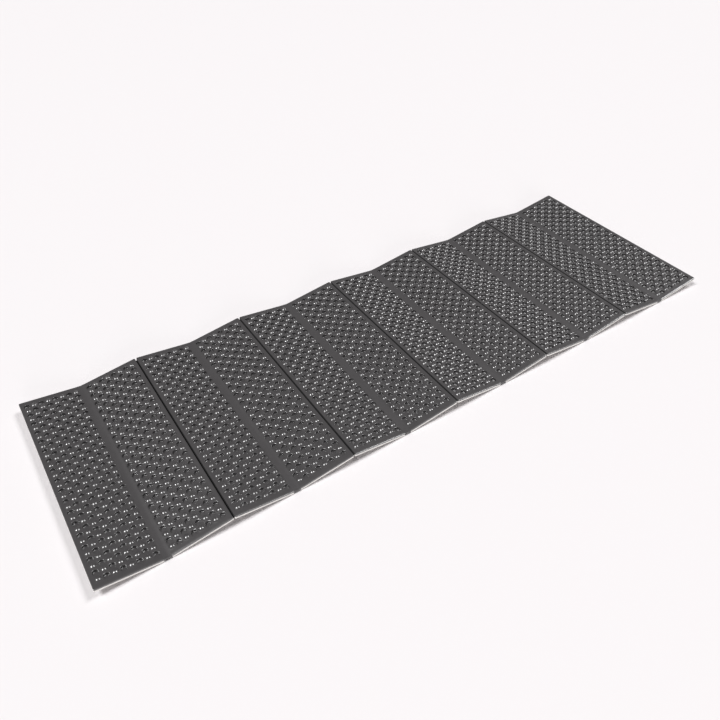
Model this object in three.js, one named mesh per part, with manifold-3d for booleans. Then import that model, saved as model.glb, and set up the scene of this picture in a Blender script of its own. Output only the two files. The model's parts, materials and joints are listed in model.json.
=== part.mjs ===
// A closed-cell foam sleeping pad that folds like an accordion, standing slightly folded on a floor.
//
// Twelve equal moulded panels are joined by eleven living hinges. Crests and valleys alternate:
// at a crest the web joins the undersides, and the slit above it opens as the panels tent up;
// at a valley the web joins the sleeping faces. Each panel is a laminate of a dark sleeping layer
// on a light base layer.
//
// Millimetres, +Z up. X runs along the pad, Y across it. The origin is on the floor, below the middle.

import * as THREE from 'three';
import { mergeVertices } from 'three/addons/utils/BufferGeometryUtils.js';
import Module from 'manifold-3d';

// ---- driving dimensions ----

const PANEL_COUNT = 12;
const PANEL_LENGTH = 150; // from hinge line to hinge line, so the flat pad is 1.8 m long
const PAD_WIDTH = 598;
const THICKNESS = 8; // of the smooth rim, both layers together
const BASE_THICKNESS = 4.6; // the light layer's share of that
const REST_TILT = THREE.MathUtils.degToRad(7.33); // each panel's slope as the pad stands
const AXIS_OUT = 0.5; // how far each hinge axis lies outside the faces that it brings together
const EDGE_GAP = 1.2; // from a hinge line to the panel's edge, half of the slit in the flat pad
const SEAM = 0.3; // gap left between pieces that touch
const WEB_RADIUS = 1.4;
const WEB_SIDES = 12;
const WEB_RELIEF = 1.5; // corner taken off a panel beside a web
const LIP = 1.2; // rounding of the other edges
const CORNER_RADIUS = 3; // of a panel's plan outline at its crest edge
const ARC_STEPS = 6;

const foam = (color) => new THREE.MeshStandardMaterial({ color, roughness: 0.55, metalness: 0 });
const DARK_FOAM = 0x4f4c4d;
const LIGHT_FOAM = 0xe9e6e3;

// ---- solids ----

const wasm = await Module();
wasm.setup();

function toSolid(geometry) {
  const bare = geometry.clone();
  bare.deleteAttribute('normal');
  bare.deleteAttribute('uv');
  const merged = mergeVertices(bare);
  return new wasm.Manifold(new wasm.Mesh({
    numProp: 3,
    vertProperties: new Float32Array(merged.attributes.position.array),
    triVerts: new Uint32Array(merged.index.array),
  }));
}

function toGeometry(solid) {
  const mesh = solid.getMesh();
  const geometry = new THREE.BufferGeometry();
  geometry.setAttribute('position', new THREE.BufferAttribute(mesh.vertProperties, 3));
  geometry.setIndex(new THREE.BufferAttribute(mesh.triVerts, 1));
  const faceted = geometry.toNonIndexed();
  faceted.computeVertexNormals();
  return faceted;
}

// ---- one panel ----
//
// A panel is drawn with its crest hinge axis on the local Y axis: X runs down the slope to the
// valley edge, and Z is square to the faces, so the underside is at Z = AXIS_OUT.

const UNDERSIDE = AXIS_OUT;
const LAMINATION = UNDERSIDE + BASE_THICKNESS;
const TOP_FACE = UNDERSIDE + THICKNESS;
const CREST_EDGE = EDGE_GAP;
const VALLEY_EDGE = PANEL_LENGTH - EDGE_GAP;

const baseSection = [
  [CREST_EDGE + WEB_RELIEF, UNDERSIDE],
  [VALLEY_EDGE - LIP, UNDERSIDE],
  [VALLEY_EDGE, UNDERSIDE + LIP],
  [VALLEY_EDGE, LAMINATION - SEAM / 2],
  [CREST_EDGE, LAMINATION - SEAM / 2],
  [CREST_EDGE, UNDERSIDE + WEB_RELIEF],
];

const topSection = [
  [CREST_EDGE, LAMINATION + SEAM / 2],
  [VALLEY_EDGE, LAMINATION + SEAM / 2],
  [VALLEY_EDGE, TOP_FACE - WEB_RELIEF],
  [VALLEY_EDGE - WEB_RELIEF, TOP_FACE],
  [CREST_EDGE + LIP, TOP_FACE],
  [CREST_EDGE, TOP_FACE - LIP],
];

function sectionAcrossPad(points) {
  const shape = new THREE.Shape(points.map(([x, y]) => new THREE.Vector2(x, y)));
  const geometry = new THREE.ExtrudeGeometry(shape, { depth: PAD_WIDTH, bevelEnabled: false });
  geometry.rotateX(Math.PI / 2);
  geometry.translate(0, PAD_WIDTH / 2, 0);
  return toSolid(geometry);
}

// The outline seen from above: round corners at the crest edge, square ones at the valley edge,
// where the sleeping face runs on without a notch.
function planOutline() {
  const half = PAD_WIDTH / 2;
  const r = CORNER_RADIUS;
  const shape = new THREE.Shape();
  shape.moveTo(CREST_EDGE + r, -half);
  shape.lineTo(PANEL_LENGTH, -half);
  shape.lineTo(PANEL_LENGTH, half);
  shape.lineTo(CREST_EDGE + r, half);
  shape.absarc(CREST_EDGE + r, half - r, r, Math.PI / 2, Math.PI, false);
  shape.lineTo(CREST_EDGE, -half + r);
  shape.absarc(CREST_EDGE + r, -half + r, r, Math.PI, Math.PI * 1.5, false);
  const tall = 2 * TOP_FACE;
  return toSolid(new THREE.ExtrudeGeometry(shape, {
    depth: tall,
    bevelEnabled: false,
    curveSegments: ARC_STEPS,
  }));
}

const outline = planOutline();
const baseGeometry = toGeometry(sectionAcrossPad(baseSection).intersect(outline));
const topGeometry = toGeometry(sectionAcrossPad(topSection).intersect(outline));

// ---- where the hinge lines lie as the pad stands ----

const slopeRise = PANEL_LENGTH * Math.sin(REST_TILT);
// square to a panel's faces, its valley axis lies this far above its crest axis
const faceSpan = THICKNESS + 2 * AXIS_OUT;
const pitch = PANEL_LENGTH * Math.cos(REST_TILT) + faceSpan * Math.sin(REST_TILT);
const leftEnd = -pitch * PANEL_COUNT / 2;
// the base layer's rounded valley edge carries the pad, on one of its two corners
const lowestOf = ([x, z]) => z * Math.cos(REST_TILT) - x * Math.sin(REST_TILT);
const crestHeight = -Math.min(...baseSection.map(lowestOf));
const valleyHeight = crestHeight - slopeRise + faceSpan * Math.cos(REST_TILT);

const two = (n) => String(n).padStart(2, '0');
const pad = new THREE.Group();

// Odd panels slope down towards +X from the crest on their left. Even ones are the same piece
// turned half round, sloping down towards -X from the crest on their right.
for (let n = 1; n <= PANEL_COUNT; n += 1) {
  const odd = n % 2 === 1;
  const panel = new THREE.Group();
  panel.position.set(leftEnd + pitch * (odd ? n - 1 : n), 0, crestHeight);
  panel.rotation.z = odd ? 0 : Math.PI;

  const base = new THREE.Mesh(baseGeometry.clone(), foam(LIGHT_FOAM));
  base.name = `panel_${two(n)}_base_layer`;
  const top = new THREE.Mesh(topGeometry.clone(), foam(DARK_FOAM));
  top.name = `panel_${two(n)}_top_layer`;
  for (const layer of [base, top]) {
    layer.rotation.y = REST_TILT;
    panel.add(layer);
  }
  pad.add(panel);
}

// Each web is a bead of pinched foam round its own hinge axis, short of the rounded corners.
for (let n = 1; n < PANEL_COUNT; n += 1) {
  const valley = n % 2 === 1;
  const length = PAD_WIDTH - 2 * CORNER_RADIUS;
  const web = new THREE.Mesh(
    new THREE.CylinderGeometry(WEB_RADIUS, WEB_RADIUS, length, WEB_SIDES),
    foam(valley ? DARK_FOAM : LIGHT_FOAM),
  );
  web.name = `fold_${two(n)}_${valley ? 'valley' : 'crest'}_web`;
  web.position.set(leftEnd + pitch * n, 0, valley ? valleyHeight : crestHeight);
  pad.add(web);
}

export default pad;
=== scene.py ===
"""A folding closed-cell foam sleeping pad, opened out and left standing in low tents.

Twelve moulded panels, each a dark sleeping layer on a light under layer, are joined by eleven living
hinges. Both layers are egg-crated: domes and round pits by turns, so that neighbours nest when the
pad is folded. One layer of each kind is modelled, in its panel's own place, and copied to the rest.

A panel's own place has its crest hinge line on the Y axis, X down the slope to its valley hinge
line, and Z square to its faces. Lengths are metres, written as millimetres times MM.
"""

import json
import math

import bmesh
import bpy
from mathutils import Matrix, Vector


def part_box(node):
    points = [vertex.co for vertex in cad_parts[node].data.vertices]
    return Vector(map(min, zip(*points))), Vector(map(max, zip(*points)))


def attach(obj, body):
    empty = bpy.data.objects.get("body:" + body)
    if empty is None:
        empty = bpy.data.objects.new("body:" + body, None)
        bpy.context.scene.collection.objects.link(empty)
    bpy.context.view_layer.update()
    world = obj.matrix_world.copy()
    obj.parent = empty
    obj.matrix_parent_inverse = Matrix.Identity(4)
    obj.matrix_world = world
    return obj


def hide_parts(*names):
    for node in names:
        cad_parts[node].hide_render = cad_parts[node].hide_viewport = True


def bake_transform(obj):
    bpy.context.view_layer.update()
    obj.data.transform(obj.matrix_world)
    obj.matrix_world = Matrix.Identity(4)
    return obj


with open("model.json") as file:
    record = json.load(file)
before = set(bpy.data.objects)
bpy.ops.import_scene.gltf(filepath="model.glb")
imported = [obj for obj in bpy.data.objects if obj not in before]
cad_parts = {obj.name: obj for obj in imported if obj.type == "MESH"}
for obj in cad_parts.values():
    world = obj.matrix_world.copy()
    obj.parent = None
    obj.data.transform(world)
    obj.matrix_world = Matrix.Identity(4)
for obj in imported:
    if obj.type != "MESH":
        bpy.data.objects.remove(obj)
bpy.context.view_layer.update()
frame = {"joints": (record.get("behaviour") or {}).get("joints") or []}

MM = 0.001
CLOSE = 0.05 * MM  # nearer than this is the same place
UPRIGHT = 0.1  # a face whose normal rises less than this is a side

# ---- sizes, from the frame ----

axes = {joint["name"]: Vector(joint["pos_m"]) for joint in frame["joints"]}
AXIS_OUT = 0.5 * MM  # a hinge axis lies this far outside the faces that it brings together
EDGE_GAP = 1.2 * MM  # from a hinge line to the edge of the foam
THICKNESS = 8 * MM  # of the smooth rim
UNDER_THICKNESS = 4.6 * MM  # the light layer's share of the rim
PANEL_LENGTH = 150 * MM

PANELS = 12
crest_z = axes["fold_06"].z
valley_z = axes["fold_07"].z
pitch = axes["fold_07"].x - axes["fold_06"].x
left_end = axes["fold_06"].x - pitch * PANELS / 2
half_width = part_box("panel_06_top_layer")[1][1]

UNDERSIDE = AXIS_OUT
TOP_FACE = UNDERSIDE + THICKNESS
SEAM = 0.3 * MM
UNDER_TOP = UNDERSIDE + UNDER_THICKNESS - SEAM / 2
SLEEPING_BOTTOM = UNDERSIDE + UNDER_THICKNESS + SEAM / 2
tilt = math.atan2(TOP_FACE + AXIS_OUT, PANEL_LENGTH) + math.atan2(crest_z - valley_z, pitch)

# ---- the egg-crate pattern ----

COLUMNS = 8  # along the pad
ROWS = 34  # across it
CELL_LENGTH = 16.65 * MM
CELL_WIDTH = 16.9 * MM
FIELD_LENGTH = COLUMNS * CELL_LENGTH
FIELD_WIDTH = ROWS * CELL_WIDTH
FIELD_MIDDLE = PANEL_LENGTH / 2
FIELD_START = FIELD_MIDDLE - FIELD_LENGTH / 2
FIELD_END = FIELD_MIDDLE + FIELD_LENGTH / 2  # the layers end here at a valley
CORNER_RADIUS = 3 * MM  # of the outline, at a crest
CORNER_STEPS = 4
LIP = 0.7 * MM  # how much the sleeping face's outer edges are eased
LIP_STEPS = 2

# Each step is a ring pressed into a cell: how far in from the last ring, and how far up.
DOME = ((1.0 * MM, 0.2 * MM), (1.7 * MM, 1.8 * MM), (2.7 * MM, 1.5 * MM))
PIT = ((0.4 * MM, 0), (0.55 * MM, -0.3 * MM), (1.1 * MM, -4.9 * MM))
STUD = ((1.9 * MM, -0.3 * MM), (1.8 * MM, -1.5 * MM), (1.8 * MM, -0.5 * MM))
HOLLOW = ((1.9 * MM, 0.4 * MM), (1.4 * MM, 3.0 * MM), (1.6 * MM, 0.4 * MM))
# The faces where the two layers meet follow the relief more coarsely.
MEETING_RISE = ((4.0 * MM, 2.4 * MM),)
MEETING_DIP = ((4.0 * MM, -4.2 * MM),)
CROWN = 0.45 * MM  # the middle of each dome stands this much higher
ROUND_FROM = 0.94  # share of a cell's half width inside which its rings are circles
RELIEF_CREASE = math.radians(35)  # edges of the relief sharper than this stay crisp
WEB_CREASE = math.radians(40)


# ---- working by hand ----


def only(piece):
    bpy.ops.object.select_all(action="DESELECT")
    piece.select_set(True)
    bpy.context.view_layer.objects.active = piece


def middle(item):
    """The middle of a vertex, edge or face."""
    if isinstance(item, bmesh.types.BMVert):
        return item.co
    return sum((v.co for v in item.verts), Vector()) / len(item.verts)


def pick(kind, wanted):
    """In edit mode, selects the vertices, edges or faces for which wanted(item, middle) is true."""
    bpy.ops.mesh.select_mode(type=kind)
    bpy.ops.mesh.select_all(action="DESELECT")
    data = bpy.context.object.data
    mesh = bmesh.from_edit_mesh(data)
    items = {"VERT": mesh.verts, "EDGE": mesh.edges, "FACE": mesh.faces}[kind]
    for item in [i for i in items if wanted(i, middle(i))]:
        item.select_set(True)
    mesh.select_flush_mode()
    bmesh.update_edit_mesh(data)


def cell_of(at):
    """The column and row of the cell that this place is in."""
    column = math.floor((at.x - FIELD_START) / CELL_LENGTH)
    row = math.floor((at.y + FIELD_WIDTH / 2) / CELL_WIDTH)
    return column, row


def is_dome_cell(at):
    """Is this place in a cell that rises? The cells go up and down by turns, as on a chessboard."""
    return sum(cell_of(at)) % 2 == 0


def cell_middle(at):
    """The middle of the cell that this place is in, at the same height."""
    column, row = cell_of(at)
    return Vector((FIELD_START + (column + 0.5) * CELL_LENGTH,
                   (row + 0.5) * CELL_WIDTH - FIELD_WIDTH / 2, at.z))


def in_field(at):
    return at.x > FIELD_START and abs(at.y) < FIELD_WIDTH / 2


def round_the_cells(sheet):
    """Draws the corners of each cell's inner square rings in, until the rings are circles."""
    for vertex in sheet.data.vertices:
        centre = cell_middle(vertex.co)
        out = vertex.co - centre
        ring = max(abs(out.x), abs(out.y))
        if in_field(vertex.co) and ring > CLOSE:
            share = min(1, max(0, (1 - 2 * ring / CELL_LENGTH) / (1 - ROUND_FROM)))
            vertex.co = centre + out * (1 + share * (ring / out.length - 1))


def crated_sheet(height, rising, sinking):
    """An open sheet at one height, with its cells pressed up and down, and a flat rim on three sides."""
    bpy.ops.object.select_all(action="DESELECT")
    bpy.ops.mesh.primitive_grid_add(x_subdivisions=COLUMNS, y_subdivisions=ROWS, size=2)
    sheet = bpy.context.object
    bpy.ops.object.mode_set(mode="EDIT")
    half = (FIELD_LENGTH / 2, FIELD_WIDTH / 2, 1)
    bpy.ops.transform.resize(value=half, center_override=(0, 0, 0))
    bpy.ops.transform.translate(value=(FIELD_MIDDLE, 0, height))
    pick("EDGE", lambda edge, at: edge.is_boundary and at.x < FIELD_END - CLOSE)
    bpy.ops.mesh.extrude_region_move()
    to_rim = ((FIELD_END - EDGE_GAP) / FIELD_LENGTH, 2 * half_width / FIELD_WIDTH, 1)
    bpy.ops.transform.resize(value=to_rim, center_override=(FIELD_END, 0, height))
    for rings, is_up in ((rising, True), (sinking, False)):
        pick("FACE", lambda face, at: in_field(at) and is_dome_cell(at) == is_up)
        for narrower, rise in rings:
            bpy.ops.mesh.inset(thickness=narrower, depth=0, use_individual=True)
            bpy.ops.transform.translate(value=(0, 0, rise))
    bpy.ops.mesh.select_all(action="SELECT")
    bpy.ops.mesh.subdivide(number_cuts=1, smoothness=0)

    def on_crown(vertex, at):
        return in_field(at) and is_dome_cell(at) and (at - cell_middle(at)).length < CLOSE

    pick("VERT", on_crown)
    bpy.ops.transform.translate(value=(0, 0, CROWN))
    bpy.ops.object.mode_set(mode="OBJECT")
    round_the_cells(sheet)
    return sheet


def foam_layer(name, upper, lower, lip_height, lip):
    """Closes two sheets into one slab, rounds its two crest corners, and eases its lip."""
    only(upper)
    lower.select_set(True)
    bpy.ops.object.join()
    upper.name = name
    bpy.ops.object.mode_set(mode="EDIT")
    pick("EDGE", lambda edge, at: edge.is_boundary)
    bpy.ops.mesh.bridge_edge_loops()
    bpy.ops.mesh.select_all(action="SELECT")
    bpy.ops.mesh.normals_make_consistent(inside=False)
    pick("EDGE", lambda edge, at: at.x < EDGE_GAP + CLOSE and abs(at.y) > half_width - CLOSE)
    bpy.ops.mesh.bevel(offset=CORNER_RADIUS, segments=CORNER_STEPS, affect="EDGES")

    def on_lip(edge, at):
        is_level = all(abs(v.co.z - lip_height) < CLOSE for v in edge.verts)
        is_by_side = any(abs(face.normal.z) < UPRIGHT for face in edge.link_faces)
        return is_level and is_by_side and at.x < FIELD_END - CLOSE

    pick("EDGE", on_lip)
    bpy.ops.mesh.bevel(offset=lip, segments=LIP_STEPS, affect="EDGES")
    bpy.ops.object.mode_set(mode="OBJECT")
    bpy.ops.object.shade_smooth_by_angle(angle=RELIEF_CREASE)
    return upper


def panel_place(number):
    """Where a panel's own place lies in the frame. Even panels are odd ones turned half round."""
    is_odd = number % 2 == 1
    crest = Vector((left_end + pitch * (number - 1 if is_odd else number), 0, crest_z))
    turned = Matrix.Rotation(0 if is_odd else math.pi, 4, "Z")
    return Matrix.Translation(crest) @ turned @ Matrix.Rotation(tilt, 4, "Y")


def copied(master, name, place):
    piece = master.copy()
    piece.data = master.data.copy()
    piece.name = piece.data.name = name
    piece.data.transform(place)
    bpy.context.collection.objects.link(piece)
    return piece


# ---- webs ----
#
# A web's section is drawn for one side of its hinge line and mirrored. A point is how far it lies
# from the hinge line along the panel, and how high above the hinge axis, square to the panel.


def beside_valley(along, high):
    return Vector((along * math.cos(tilt) - high * math.sin(tilt),
                   along * math.sin(tilt) + high * math.cos(tilt)))


def beside_crest(along, high):
    return Vector((along * math.cos(tilt) + high * math.sin(tilt),
                   -along * math.sin(tilt) + high * math.cos(tilt)))


def bar(name, section, axis, length):
    """A straight bar across the pad with this outline, given as offsets (x, z) from a hinge axis."""
    bpy.ops.object.select_all(action="DESELECT")
    bpy.ops.mesh.primitive_circle_add(vertices=len(section), radius=1, fill_type="NGON")
    piece = bpy.context.object
    piece.name = piece.data.name = name
    for vertex, (x, z) in zip(piece.data.vertices, section):
        vertex.co = (axis.x + x, -length / 2, axis.z + z)
    bpy.ops.object.mode_set(mode="EDIT")
    bpy.ops.mesh.select_all(action="SELECT")
    bpy.ops.mesh.extrude_region_move(TRANSFORM_OT_translate={"value": (0, length, 0)})
    bpy.ops.mesh.select_all(action="SELECT")
    bpy.ops.mesh.normals_make_consistent(inside=False)
    bpy.ops.object.mode_set(mode="OBJECT")
    bpy.ops.object.shade_smooth_by_angle(angle=WEB_CREASE)
    return piece


def mirrored(half):
    """The whole outline from its right half, which runs from the middle round to the middle."""
    return half + [Vector((-x, z)) for x, z in reversed(half) if abs(x) > CLOSE]


# ---- materials ----

CLOUD_SIZE = 45 * MM  # of the soft patches where the foam's colour is a little uneven
CLOUD_DETAIL = 3
DENT_SIZE = 8 * MM  # of the shallow waves that the mould leaves in the skin
DENT_DETAIL = 2
DENT_DEPTH = 0.12 * MM
SMOOTHER = 0.05  # how far the roughness wanders either way along those waves
ROUGHER = 0.07


def from_hex(colour):
    """An sRGB hex colour as linear RGBA."""
    channels = [int(colour[i:i + 2], 16) / 255 for i in (1, 3, 5)]
    return [c / 12.92 if c <= 0.04045 else ((c + 0.055) / 1.055) ** 2.4 for c in channels] + [1]


def add(owner, kind, settings, inputs):
    """Adds a node to a material or a world, and fills its inputs with values or other nodes' outputs."""
    node = owner.node_tree.nodes.new("ShaderNode" + kind)
    for key, value in settings.items():
        setattr(node, key, value)
    for key, value in inputs.items():
        if isinstance(value, bpy.types.NodeSocket):
            owner.node_tree.links.new(value, node.inputs[key])
        else:
            node.inputs[key].default_value = value
    return node


def polyethylene_foam(name, dark, light, cell_mm, cell_depth_mm, roughness, gloss):
    """Closed-cell cross-linked polyethylene (XPE) foam.

    The foam's own cells are about 0.4 mm across, too fine to show, so they are drawn two or three
    times as coarse. Bare polyethylene has an IOR of about 1.5. It is set higher here, because the
    sealed skin of a hot-moulded sheet throws brighter highlights than the bare plastic.
    """
    material = bpy.data.materials.new(name)
    material.use_nodes = True
    material.node_tree.nodes.clear()
    place = add(material, "TexCoord", {}, {}).outputs["Object"]
    clouds = add(material, "TexNoise", {},
                 {"Vector": place, "Scale": 1 / CLOUD_SIZE, "Detail": CLOUD_DETAIL})
    colour = add(material, "Mix", {"data_type": "RGBA"},
                 {"Factor": clouds.outputs["Fac"], 6: from_hex(dark), 7: from_hex(light)})
    cells = add(material, "TexVoronoi", {}, {"Vector": place, "Scale": 1 / (cell_mm * MM)})
    dents = add(material, "TexNoise", {},
                {"Vector": place, "Scale": 1 / DENT_SIZE, "Detail": DENT_DETAIL})
    grain = add(material, "Bump", {"invert": True}, {
        "Height": cells.outputs["Distance"], "Distance": cell_depth_mm * MM, "Strength": 1})
    skin = add(material, "Bump", {}, {
        "Height": dents.outputs["Fac"], "Distance": DENT_DEPTH, "Strength": 1,
        "Normal": grain.outputs["Normal"]})
    satin = add(material, "MapRange", {}, {
        "Value": dents.outputs["Fac"], "To Min": roughness - SMOOTHER, "To Max": roughness + ROUGHER})
    shader = add(material, "BsdfPrincipled", {}, {
        "Base Color": colour.outputs[2], "Roughness": satin.outputs["Result"], "IOR": 1.75,
        "Coat Weight": gloss, "Coat Roughness": 0.27, "Coat IOR": 1.8,
        "Normal": skin.outputs["Normal"], "Coat Normal": skin.outputs["Normal"]})
    add(material, "OutputMaterial", {}, {"Surface": shader.outputs["BSDF"]})
    return material


# pressed hot against a polished mould: a sealed dark skin, so each dome carries small bright lights
moulded_charcoal = polyethylene_foam(
    "moulded_charcoal_xpe_foam", "#312f30", "#3b393a", 1.3, 0.03, 0.30, 1)
# painted shade: near black and matt, it darkens the inside of each slit, where the narrow gap lies in
# shade, so the slit reads as black
painted_slit_shade = polyethylene_foam(
    "torn_black_xpe_foam", "#0e0d0e", "#161516", 0.8, 0.10, 0.9, 0)
# pinched flat between the mould's ribs: denser, a shade lighter and duller than the domes
pressed_charcoal = polyethylene_foam(
    "pressed_charcoal_xpe_foam", "#383637", "#403e3f", 1.0, 0.03, 0.40, 0.2)
# undyed foam with cut edges: off-white and dry, with a faint grain of opened cells
cut_white = polyethylene_foam(
    "cut_white_xpe_foam", "#e4e1dd", "#f0eeeb", 0.9, 0.16, 0.62, 0)


def finished(piece, material, nodes=()):
    """Gives a piece its material, and hides the CAD parts of the nodes that it stands for."""
    piece.data.materials.clear()
    piece.data.materials.append(material)
    if nodes:
        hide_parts(*nodes)


# ---- panels ----

sleeping_master = foam_layer(
    "sleeping_layer",
    crated_sheet(TOP_FACE, DOME, PIT),
    crated_sheet(SLEEPING_BOTTOM, MEETING_RISE, MEETING_DIP),
    TOP_FACE, LIP)
under_master = foam_layer(
    "under_layer",
    crated_sheet(UNDER_TOP, MEETING_RISE, MEETING_DIP),
    crated_sheet(UNDERSIDE, HOLLOW, STUD),
    UNDERSIDE, LIP / 2)

for number in range(1, PANELS + 1):
    panel = f"panel_{number:02d}"
    for master, layer, material, slot in (
        (sleeping_master, "top_layer", moulded_charcoal, "top_foam"),
        (under_master, "base_layer", cut_white, "base_foam"),
    ):
        piece = copied(master, f"{panel}_{master.name}", panel_place(number))
        finished(piece, material, [f"{panel}_{layer}"])
        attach(piece, panel)

for master in (sleeping_master, under_master):
    bpy.data.objects.remove(master)

# ---- the folds ----

VALLEY_TURN = 2 * MM  # a web bends within this distance of its hinge line
CREST_TURN = 1.1 * MM
LINING_TURN = 0.35 * MM
TURN_SHARE = 0.9  # its outline's bending points lie within this share of that distance
TURN_STEPS = 4
MIDDLE_FOLD = 5  # the one whose crease is a body of its own

# a valley web is thinnest on its hinge line, and thickens in an arch towards the panels
VALLEY_REACH = PANEL_LENGTH - FIELD_END - 0.02 * MM
VALLEY_TOP = -AXIS_OUT
VALLEY_THICKNESS = 2.4 * MM
ARCH_FROM = 0.6  # share of the reach
ARCH_THICKNESS = 3.2 * MM
END_THICKNESS = 5 * MM

CREST_REACH = 2.2 * MM
CREST_BOTTOM = UNDERSIDE + 0.02 * MM
CREST_TOP = UNDERSIDE + 0.7 * MM
CREST_TIP = 0.1 * MM  # thickness where it feathers out under a panel
CREST_LENGTH = 2 * (half_width - CORNER_RADIUS)

# a slit lining is a near-black trough of painted shade, whose upright walls lie against the panels'
# crest edges and darken the slit
LINING_INNER = 0.98 * MM
LINING_OUTER = 1.16 * MM
LINING_BOTTOM = 1.35 * MM
LINING_FLOOR = 1.75 * MM
LINING_RIM = TOP_FACE - 0.4 * MM


def turn(height, reach):
    """Points at one height, from the hinge line out to where a web stops bending."""
    wide = reach * TURN_SHARE
    return [Vector((wide * step / TURN_STEPS, height)) for step in range(TURN_STEPS + 1)]


def valley_half():
    """The right half of a valley web's outline, whose top is flush with the sleeping face."""
    arch = [beside_valley(VALLEY_REACH, VALLEY_TOP),
            beside_valley(VALLEY_REACH, VALLEY_TOP - END_THICKNESS),
            beside_valley(ARCH_FROM * VALLEY_REACH, VALLEY_TOP - ARCH_THICKNESS)]
    bottom = turn(VALLEY_TOP - VALLEY_THICKNESS, VALLEY_TURN)
    return turn(VALLEY_TOP, VALLEY_TURN) + arch + list(reversed(bottom))


def valley_web(number):
    at = axes[f"fold_{number:02d}"]
    strip = bar(f"fold_{number:02d}_valley_strip", mirrored(valley_half()), at, 2 * half_width)
    finished(strip, pressed_charcoal, [f"fold_{number:02d}_valley_web"])
    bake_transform(strip)


def middle_valley_web():
    """Two strips that meet on the middle crease, because that crease is a body of its own."""
    at = axes["fold_05_left"]
    left_half = [Vector((-x, z)) for x, z in valley_half()]
    left = bar("fold_05_valley_strip_left", left_half, at, 2 * half_width)
    finished(left, pressed_charcoal, ["fold_05_valley_web"])
    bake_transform(left)
    right = bar("fold_05_valley_strip_right", valley_half(), at, 2 * half_width)
    finished(right, pressed_charcoal)
    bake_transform(right)


def crest_web(number):
    """The light web level with the undersides."""
    at = axes[f"fold_{number:02d}"]
    tip = [beside_crest(CREST_REACH, CREST_BOTTOM),
           beside_crest(CREST_REACH, CREST_BOTTOM + CREST_TIP)]
    half = turn(CREST_BOTTOM, CREST_TURN) + tip + list(reversed(turn(CREST_TOP, CREST_TURN)))
    strip = bar(f"fold_{number:02d}_crest_strip", mirrored(half), at, CREST_LENGTH)
    finished(strip, cut_white, [f"fold_{number:02d}_crest_web"])
    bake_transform(strip)


def slit_shade_sheet(number):
    """A near-black sheet of painted shade that lines the slit over a crest web."""
    at = axes[f"fold_{number:02d}"]
    wall = [beside_crest(LINING_OUTER, LINING_BOTTOM), beside_crest(LINING_OUTER, LINING_RIM),
            beside_crest(LINING_INNER, LINING_RIM), beside_crest(LINING_INNER, LINING_FLOOR)]
    half = turn(LINING_BOTTOM, LINING_TURN) + wall + list(reversed(turn(LINING_FLOOR, LINING_TURN)))
    lining = bar(f"fold_{number:02d}_slit_lining", mirrored(half), at, CREST_LENGTH)
    finished(lining, painted_slit_shade)
    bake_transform(lining)


for number in range(1, PANELS):
    if number == MIDDLE_FOLD:
        middle_valley_web()
    elif number % 2 == 1:
        valley_web(number)
    else:
        crest_web(number)
        slit_shade_sheet(number)

# ---- studio ----

LENS_MM = 34.31
SENSOR_MM = 36
AZIMUTH = math.radians(-32.475)
ELEVATION = math.radians(42.446)
ROLL = math.radians(-1.282)
DISTANCE = 1.8125
AIM_ALONG = 5.3016  # panels from the left end
AIM_ACROSS = 1.8362  # panels from the near edge
LAMP_DISTANCE = 3
FLOOR_SIZE = 24
aim = Vector((left_end + AIM_ALONG * pitch, -half_width + AIM_ACROSS * pitch, valley_z - AXIS_OUT))

back = Vector((math.sin(AZIMUTH) * math.cos(ELEVATION),
               -math.cos(AZIMUTH) * math.cos(ELEVATION), math.sin(ELEVATION)))
across = Vector((math.cos(AZIMUTH), math.sin(AZIMUTH), 0))
upward = back.cross(across)
camera_data = bpy.data.cameras.new("camera")
camera_data.lens = LENS_MM
camera_data.sensor_width = SENSOR_MM
camera = bpy.data.objects.new("camera", camera_data)
facing = Matrix((across, upward, back)).transposed().to_4x4() @ Matrix.Rotation(ROLL, 4, "Z")
camera.matrix_world = Matrix.Translation(aim + DISTANCE * back) @ facing
bpy.context.collection.objects.link(camera)
bpy.context.scene.camera = camera


def softbox(name, towards, width_degrees, strength):
    """A far soft light, whose direction is from the pad towards it."""
    data = bpy.data.lights.new(name, "SUN")
    data.angle = math.radians(width_degrees)
    data.energy = strength
    lamp = bpy.data.objects.new(name, data)
    facing = (-Vector(towards)).to_track_quat("-Z", "Y")
    lamp.matrix_world = Matrix.Translation(Vector(towards) * LAMP_DISTANCE) @ facing.to_matrix().to_4x4()
    bpy.context.collection.objects.link(lamp)


# the two overhead lights give each dome its pair of highlights, and the low one lights the cut edge
softbox("left_softbox", (-0.50, 0.10, 0.86), 20, 2.2)
softbox("right_softbox", (0.60, -0.05, 0.80), 20, 1.4)
softbox("front_softbox", (-0.25, -0.95, 0.13), 20, 1.1)

world = bpy.data.worlds.new("pale_studio")
world.use_nodes = True
world.node_tree.nodes.clear()
# the backdrop shows as bright as the floor, but lights the pad only a little
is_seen = add(world, "LightPath", {}, {}).outputs["Is Camera Ray"]
brightness = add(world, "MapRange", {}, {"Value": is_seen, "To Min": 0.2, "To Max": 0.965})
sky = add(world, "Background", {},
          {"Color": from_hex("#fffbfc"), "Strength": brightness.outputs["Result"]})
add(world, "OutputWorld", {}, {"Surface": sky.outputs["Background"]})
bpy.context.scene.world = world
bpy.context.scene.view_settings.view_transform = "Standard"

bpy.ops.object.select_all(action="DESELECT")
bpy.ops.mesh.primitive_plane_add(size=FLOOR_SIZE)
floor = bpy.context.object
floor.name = "studio_floor"
paper = bpy.data.materials.new("matt_white_paper")
paper.use_nodes = True
paper_shader = paper.node_tree.nodes["Principled BSDF"]
paper_shader.inputs["Base Color"].default_value = from_hex("#e8e5e6")
paper_shader.inputs["Roughness"].default_value = 0.9
floor.data.materials.append(paper)
